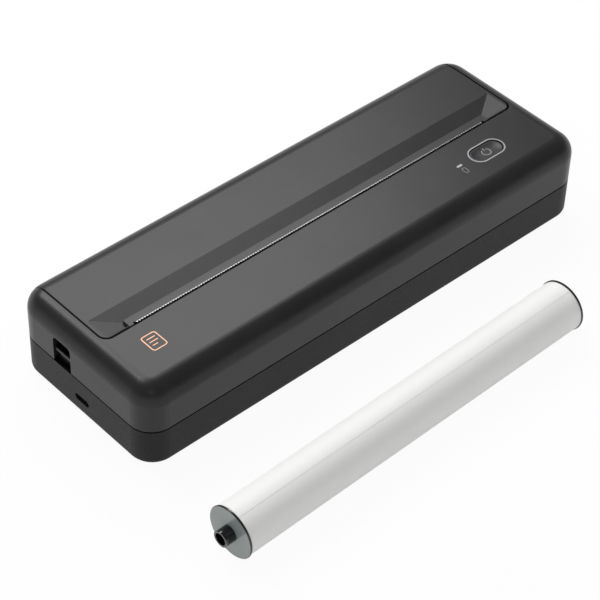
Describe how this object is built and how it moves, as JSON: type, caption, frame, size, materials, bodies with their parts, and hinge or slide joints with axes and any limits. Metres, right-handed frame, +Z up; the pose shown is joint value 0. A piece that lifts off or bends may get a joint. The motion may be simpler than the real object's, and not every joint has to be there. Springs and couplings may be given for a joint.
{
  "type": "a4 portable thermal printer",
  "caption": "Slim dark grey portable thermal printer with a hinged lid over the paper bay, a toothed tear bar, a power button and a loose roll of white paper with smoke grey end discs.",
  "frame": {"origin": "centre of the case's footprint, at the height of the table that its feet stand on", "axes": "+X along the case towards the power button, +Y towards the lid's hinge, +Z up"},
  "size_m": [0.2859, 0.1652, 0.0468],
  "materials": {
    "shell_upper": "fine satin texture, dark grey",
    "shell_lower": "fine satin texture, darker grey",
    "lid_plastic": "fine satin texture, dark grey",
    "inner_plastic": "matte black",
    "button_plastic": "satin dark grey",
    "ring_plastic": "light grey light guide",
    "clear_plastic": "clear moulded plastic",
    "smoke_plastic": "smoke grey moulded plastic",
    "gear_plastic": "natural acetal",
    "hub_plastic": "black, glossy",
    "steel": "bright steel",
    "plate_steel": "zinc plated sheet",
    "bar_steel": "satin steel edge",
    "sink_metal": "bare aluminium",
    "ceramic": "glazed ceramic board",
    "platen_rubber": "ground rubber",
    "foot_rubber": "black rubber",
    "bearing_plastic": "black bearing plastic",
    "board_green": "green circuit board",
    "chip_black": "moulded black",
    "lamp_white": "lamp body",
    "cell_wrap": "shrink wrap",
    "sleeve_film": "blue film",
    "nickel": "nickel",
    "paper": "white thermal paper",
    "core_card": "grey card tube"
  },
  "bodies": {
    "case": {"lower_case": "shell_lower", "upper_case": "shell_upper", "rubber_feet": "foot_rubber", "case_screws": "steel", "hinge_pins": "steel", "stepper_motor": "plate_steel", "gear_posts": "steel", "left_side_plate": "plate_steel", "drive_side_plate": "plate_steel", "head_board": "ceramic", "heat_sink": "sink_metal", "head_bracket": "plate_steel", "spring_beam": "plate_steel", "head_springs": "steel", "paper_tray": "inner_plastic", "paper_guide": "inner_plastic", "paper_sensor": "chip_black", "battery_cell_left": "cell_wrap", "battery_cell_right": "cell_wrap", "cell_strap": "nickel", "battery_sleeve": "sleeve_film", "main_board": "board_green", "power_switch": "chip_black", "board_chips": "chip_black", "indicator_lamps": "lamp_white", "light_pipes": "clear_plastic", "button_ring": "ring_plastic", "usb_board": "board_green", "usb_socket": "steel", "slider_spring": "steel"},
    "lid": {"lid_shell": "lid_plastic", "lid_frame": "inner_plastic", "tear_bar": "bar_steel", "platen_bushings": "bearing_plastic"},
    "platen": {"platen_shaft": "steel", "platen_rubber": "platen_rubber", "platen_gear": "gear_plastic"},
    "idler": {"idler_gear": "gear_plastic"},
    "reduction": {"reduction_gear": "gear_plastic"},
    "motor_rotor": {"motor_pinion": "gear_plastic", "motor_shaft": "steel"},
    "button": {"power_button": "button_plastic"},
    "slider": {"release_slider": "inner_plastic"},
    "latch": {"latch_shaft": "steel", "latch_crank": "inner_plastic", "latch_hook_left": "inner_plastic", "latch_hook_right": "inner_plastic"},
    "roll": {"roll_paper": "paper", "roll_core": "core_card", "roll_flange_left": "smoke_plastic", "roll_flange_right": "smoke_plastic", "roll_hub_left": "hub_plastic", "roll_hub_right": "hub_plastic"}
  },
  "joints": [
    {"name": "lid_hinge", "type": "hinge", "parent": "case", "child": "lid", "pos_m": [0, 0.0443, 0.0288], "axis": [-1, 0, 0], "range_deg": [0, 85]},
    {"name": "platen_spin", "type": "hinge", "parent": "lid", "child": "platen", "pos_m": [-0.0012, 0.0016, 0.035], "axis": [1, 0, 0], "continuous": true},
    {"name": "idler_spin", "type": "hinge", "parent": "case", "child": "idler", "pos_m": [0.1183, -0.00038, 0.02134], "axis": [1, 0, 0], "continuous": true},
    {"name": "reduction_spin", "type": "hinge", "parent": "case", "child": "reduction", "pos_m": [0.1162, -0.01088, 0.01689], "axis": [1, 0, 0], "continuous": true},
    {"name": "motor_spin", "type": "hinge", "parent": "case", "child": "motor_rotor", "pos_m": [0.112, -0.0218, 0.0133], "axis": [1, 0, 0], "continuous": true},
    {"name": "button_press", "type": "slide", "parent": "case", "child": "button", "axis": [0, 0, -1], "range_m": [0, 0.0005], "stiffness_N_per_m": 600, "springref_m": -0.0002},
    {"name": "latch_turn", "type": "hinge", "parent": "case", "child": "latch", "pos_m": [0, 0.00901, 0.00979], "axis": [-1, 0, 0], "range_deg": [0, 18], "stiffness_Nm_per_rad": 0.05, "springref_deg": -17.19},
    {"name": "slider_press", "type": "slide", "parent": "case", "child": "slider", "axis": [0, 0, -1], "range_m": [0, 0.003], "deforming": ["slider_spring"]},
    {"name": "roll_spin", "type": "hinge", "parent": "case", "child": "roll", "pos_m": [-0.03502, -0.10263, 0.0132], "axis": [0.9998, 0.0209, 0], "continuous": true}
  ],
  "couplings": [
    {"joint": "idler_spin", "follows": "platen_spin", "ratio": -1.0909},
    {"joint": "reduction_spin", "follows": "platen_spin", "ratio": 1.5},
    {"joint": "motor_spin", "follows": "platen_spin", "ratio": -4.25},
    {"joint": "slider_press", "follows": "latch_turn", "m_per_rad": 0.0092}
  ]
}
